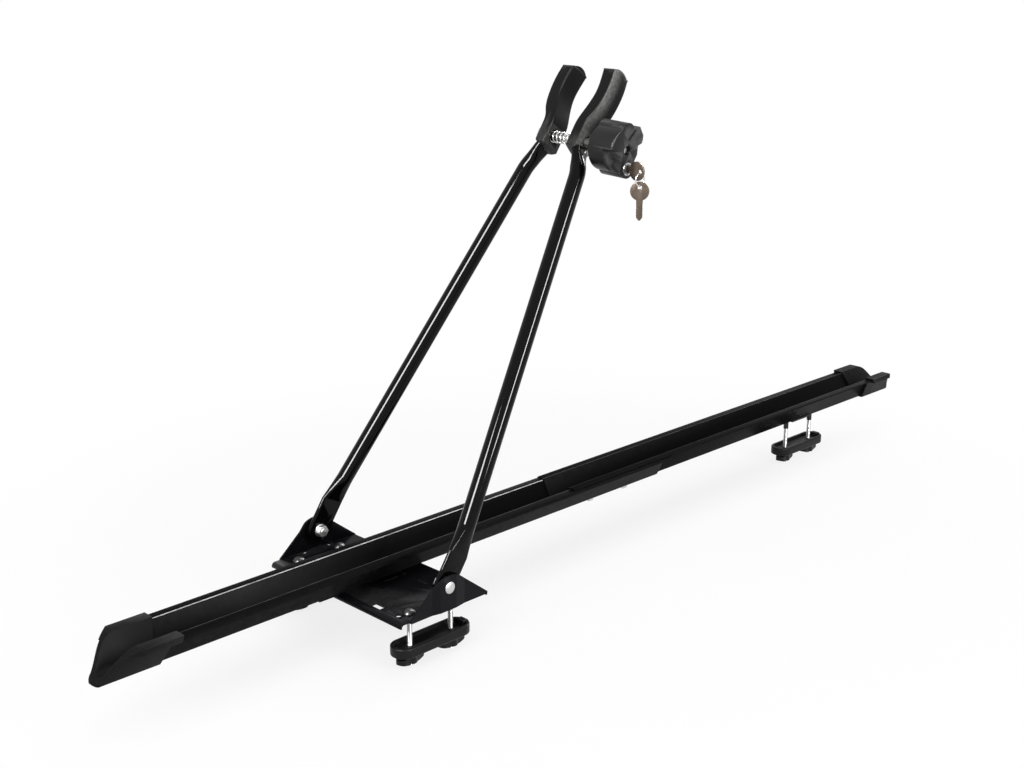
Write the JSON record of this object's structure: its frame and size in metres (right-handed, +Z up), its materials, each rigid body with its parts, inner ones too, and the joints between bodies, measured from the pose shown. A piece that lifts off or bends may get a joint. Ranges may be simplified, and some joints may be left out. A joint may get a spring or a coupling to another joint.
{
  "type": "roof bicycle carrier",
  "caption": "Roof-bar carrier for a bicycle: V-shaped wheel channel, hinged twin-tube frame holder with locking knob, base plate and stud clamps with wing nuts",
  "frame": {"origin": "middle of the seat of the rubber strip on the front roof bar", "axes": "+X along the wheel channel to the rear, +Z up, the knob on the -Y side"},
  "size_m": [1.474, 0.2567, 0.635],
  "materials": {
    "base_black": "satin black powder coat",
    "channel_black": "gloss black coat",
    "cap_plastic": "matte black moulding",
    "pad_rubber": "black rubber",
    "tube_black": "satin black powder coat",
    "jaw_plastic": "black moulding with a soft sheen",
    "knob_plastic": "matte black moulding",
    "lock_chrome": "bright plated lock",
    "key_steel": "nickel plated",
    "ring_steel": "bright wire",
    "spring_steel": "bright spring wire",
    "bar_plastic": "black moulding",
    "wing_nut_plastic": "black moulding",
    "sleeve_plastic": "black sleeve",
    "bush_zinc": "light zinc",
    "zinc": "zinc plated"
  },
  "bodies": {
    "base": {"base_plate": "base_black", "far_clamp_studs": "zinc", "far_stud_sleeves": "sleeve_plastic", "front_bar_pad": "pad_rubber", "front_end_cap": "cap_plastic", "front_rail": "channel_black", "joint_bolts": "zinc", "joint_nuts": "zinc", "near_clamp_studs": "zinc", "near_stud_sleeves": "sleeve_plastic", "pivot_bolts": "zinc", "pivot_nuts": "zinc", "pivot_spacers": "zinc", "rear_bar_pad": "pad_rubber", "rear_clamp_studs": "zinc", "rear_end_cap": "cap_plastic", "rear_rail": "channel_black", "rear_strap": "base_black", "rear_stud_sleeves": "sleeve_plastic"},
    "far_frame": {"far_arm_tube": "tube_black", "far_jaw": "jaw_plastic", "far_jaw_bolt": "zinc", "clamp_screw": "zinc", "clamp_screw_nut": "zinc", "jaw_spring": "spring_steel"},
    "near_frame": {"near_arm_tube": "tube_black", "near_jaw": "jaw_plastic", "near_jaw_bolt": "zinc"},
    "clutch": {"thrust_bush": "bush_zinc", "clutch_nut": "zinc"},
    "knob": {"knob_upper_half": "knob_plastic", "knob_lower_half": "knob_plastic", "lock_housing": "lock_chrome"},
    "barrel": {"lock_barrel": "lock_chrome"},
    "key": {"key_in_lock": "key_steel"},
    "ring": {"key_ring": "ring_steel"},
    "spare": {"spare_key": "key_steel"},
    "near_bar": {"near_clamp_bar": "bar_plastic"},
    "near_nut_front": {"near_wing_nut_front": "wing_nut_plastic"},
    "near_nut_rear": {"near_wing_nut_rear": "wing_nut_plastic"},
    "far_bar": {"far_clamp_bar": "bar_plastic"},
    "far_nut_front": {"far_wing_nut_front": "wing_nut_plastic"},
    "far_nut_rear": {"far_wing_nut_rear": "wing_nut_plastic"},
    "rear_bar": {"rear_clamp_bar": "bar_plastic"},
    "rear_nut_front": {"rear_wing_nut_front": "wing_nut_plastic"},
    "rear_nut_rear": {"rear_wing_nut_rear": "wing_nut_plastic"}
  },
  "joints": [
    {"name": "arms_fold", "type": "hinge", "parent": "base", "child": "far_frame", "pos_m": [0.01, 0.1157, 0.0295], "axis": [0, 1, 0], "range_deg": [-34.3, 50]},
    {"name": "near_tube_spread", "type": "hinge", "parent": "far_frame", "child": "near_frame", "pos_m": [0.01, -0.1157, 0.0295], "axis": [0.8261, 0, -0.5635], "range_deg": [-1.5, 1.8], "deforming": ["jaw_spring"]},
    {"name": "knob_travel", "type": "slide", "parent": "far_frame", "child": "clutch", "axis": [0, -0.9986, -0.0523], "range_m": [-0.01475, 0.01768]},
    {"name": "knob_turn", "type": "hinge", "parent": "clutch", "child": "knob", "pos_m": [0.32529, -0.10086, 0.48642], "axis": [0, -0.9986, -0.0523], "continuous": true},
    {"name": "lock_turn", "type": "hinge", "parent": "knob", "child": "barrel", "pos_m": [0.32725, -0.10049, 0.46409], "axis": [0, -0.9986, -0.0523], "range_deg": [0, 90]},
    {"name": "key_pull", "type": "slide", "parent": "barrel", "child": "key", "axis": [0, -0.9986, -0.0523], "range_m": [0, 0.03]},
    {"name": "ring_swing", "type": "hinge", "parent": "key", "child": "ring", "pos_m": [0.32725, -0.11997, 0.46307], "axis": [1, 0, 0], "range_deg": [-25, 2]},
    {"name": "spare_key_swing", "type": "hinge", "parent": "ring", "child": "spare", "pos_m": [0.32725, -0.11997, 0.44517], "axis": [0.766, 0.6428, 0], "range_deg": [-25, 6]},
    {"name": "near_bar_travel", "type": "slide", "parent": "base", "child": "near_bar", "axis": [0, 0, 1], "range_m": [-0.003, 0.014]},
    {"name": "near_nut_front_turn", "type": "hinge", "parent": "near_bar", "child": "near_nut_front", "pos_m": [-0.031, -0.102, -0.043], "axis": [0, 0, 1], "continuous": true},
    {"name": "near_nut_rear_turn", "type": "hinge", "parent": "near_bar", "child": "near_nut_rear", "pos_m": [0.031, -0.102, -0.043], "axis": [0, 0, 1], "continuous": true},
    {"name": "far_bar_travel", "type": "slide", "parent": "base", "child": "far_bar", "axis": [0, 0, 1], "range_m": [-0.003, 0.014]},
    {"name": "far_nut_front_turn", "type": "hinge", "parent": "far_bar", "child": "far_nut_front", "pos_m": [-0.031, 0.102, -0.043], "axis": [0, 0, 1], "continuous": true},
    {"name": "far_nut_rear_turn", "type": "hinge", "parent": "far_bar", "child": "far_nut_rear", "pos_m": [0.031, 0.102, -0.043], "axis": [0, 0, 1], "continuous": true},
    {"name": "rear_bar_travel", "type": "slide", "parent": "base", "child": "rear_bar", "axis": [0, 0, 1], "range_m": [-0.003, 0.014]},
    {"name": "rear_nut_front_turn", "type": "hinge", "parent": "rear_bar", "child": "rear_nut_front", "pos_m": [0.83, 0, -0.043], "axis": [0, 0, 1], "continuous": true},
    {"name": "rear_nut_rear_turn", "type": "hinge", "parent": "rear_bar", "child": "rear_nut_rear", "pos_m": [0.892, 0, -0.043], "axis": [0, 0, 1], "continuous": true}
  ],
  "couplings": [
    {"joint": "knob_travel", "follows": "near_tube_spread", "m_per_rad": 0.5595}
  ]
}
